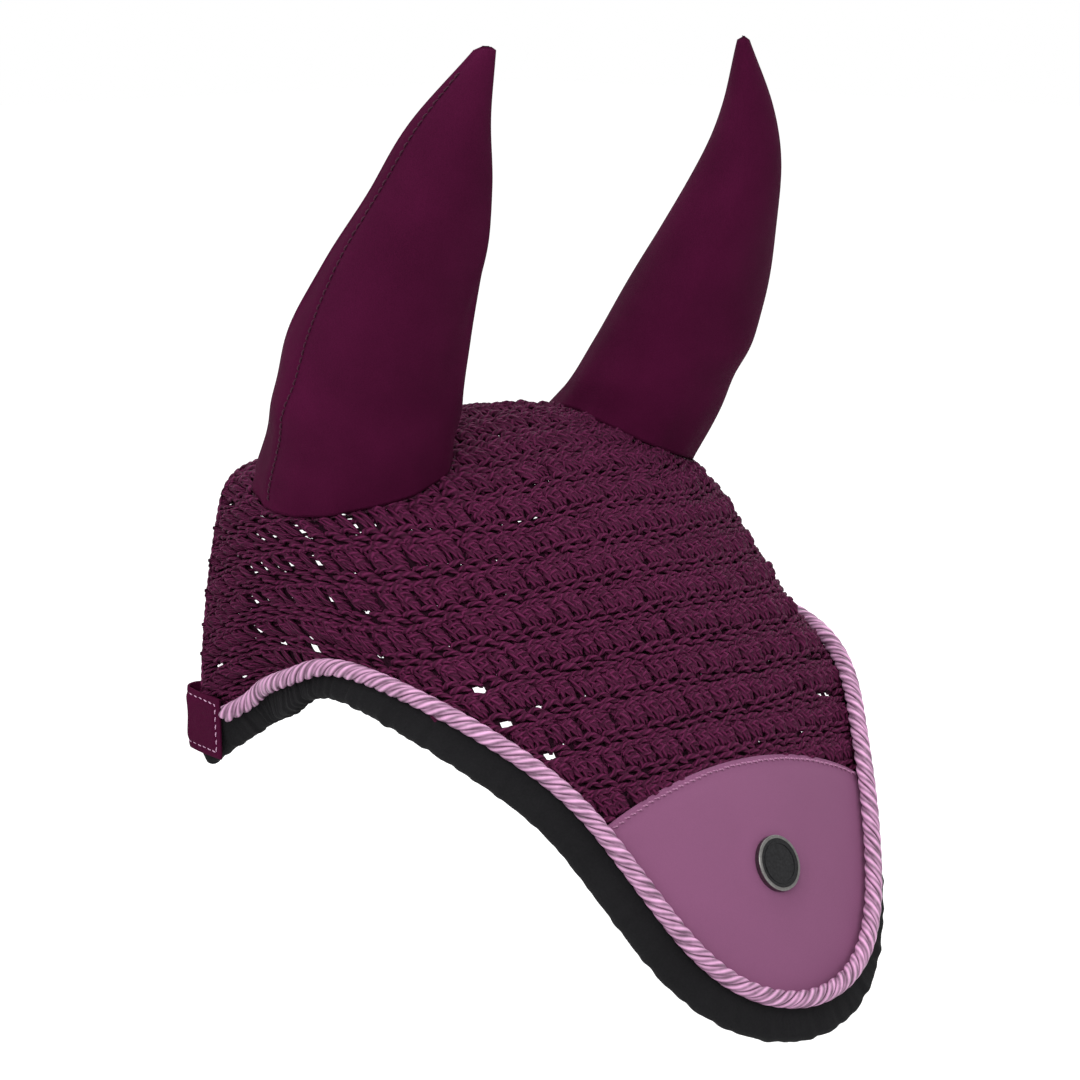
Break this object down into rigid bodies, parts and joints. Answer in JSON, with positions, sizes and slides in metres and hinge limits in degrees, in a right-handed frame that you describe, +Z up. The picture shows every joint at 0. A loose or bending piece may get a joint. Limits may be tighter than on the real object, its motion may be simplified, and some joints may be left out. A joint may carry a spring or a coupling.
{
  "type": "horse fly mask",
  "caption": "Crocheted bonnet with cloth ear sleeves, twisted cord rim and riveted forehead patch; covers a horse's poll and forehead against flies.",
  "frame": {"origin": "middle of the poll, where the crocheted cloth lies on the head", "axes": "+Z up, the face looks along -Y, +X is the horse's left"},
  "size_m": [0.2666, 0.2846, 0.4204],
  "materials": {
    "crochet_yarn": "matt mercerised cotton yarn, worked in crochet",
    "ear_cloth": "smooth stretch cloth with a low sheen",
    "edge_tape": "matt folded jersey tape",
    "satin_cord": "twisted satin cord, glossy",
    "patch_cloth": "fine woven cloth with a soft matt face",
    "badge_metal": "dark nickel plate",
    "badge_enamel": "glossy dark enamel with a raised ring",
    "plum_thread": "sewing thread",
    "pale_thread": "pale sewing thread"
  },
  "bodies": {
    "bonnet": {"crochet_crown": "crochet_yarn", "ear_base_right": "ear_cloth", "ear_join_stitches_right": "plum_thread", "ear_base_left": "ear_cloth", "ear_join_stitches_left": "plum_thread", "edge_tape": "edge_tape", "rim_cord": "satin_cord", "forehead_patch": "patch_cloth", "patch_stitches": "pale_thread", "corner_tab_right": "ear_cloth", "tab_stitches_right": "pale_thread", "corner_tab_left": "ear_cloth", "tab_stitches_left": "pale_thread", "badge_rim": "badge_metal", "badge_face": "badge_enamel", "badge_rivet": "badge_metal", "badge_washer": "badge_metal"},
    "ear_right": {"ear_sleeve_right": "ear_cloth", "ear_seam_stitches_right": "plum_thread"},
    "ear_left": {"ear_sleeve_left": "ear_cloth", "ear_seam_stitches_left": "plum_thread"}
  },
  "joints": [
    {"name": "ear_right_tilt", "type": "hinge", "parent": "bonnet", "child": "ear_right", "pos_m": [-0.0915, -0.006, 0.0142], "axis": [1, 0, 0], "range_deg": [-25, 15], "stiffness_Nm_per_rad": 1, "deforming": ["ear_base_right"]},
    {"name": "ear_left_tilt", "type": "hinge", "parent": "bonnet", "child": "ear_left", "pos_m": [0.0915, -0.006, 0.0142], "axis": [1, 0, 0], "range_deg": [-25, 15], "stiffness_Nm_per_rad": 1, "deforming": ["ear_base_left"]}
  ]
}
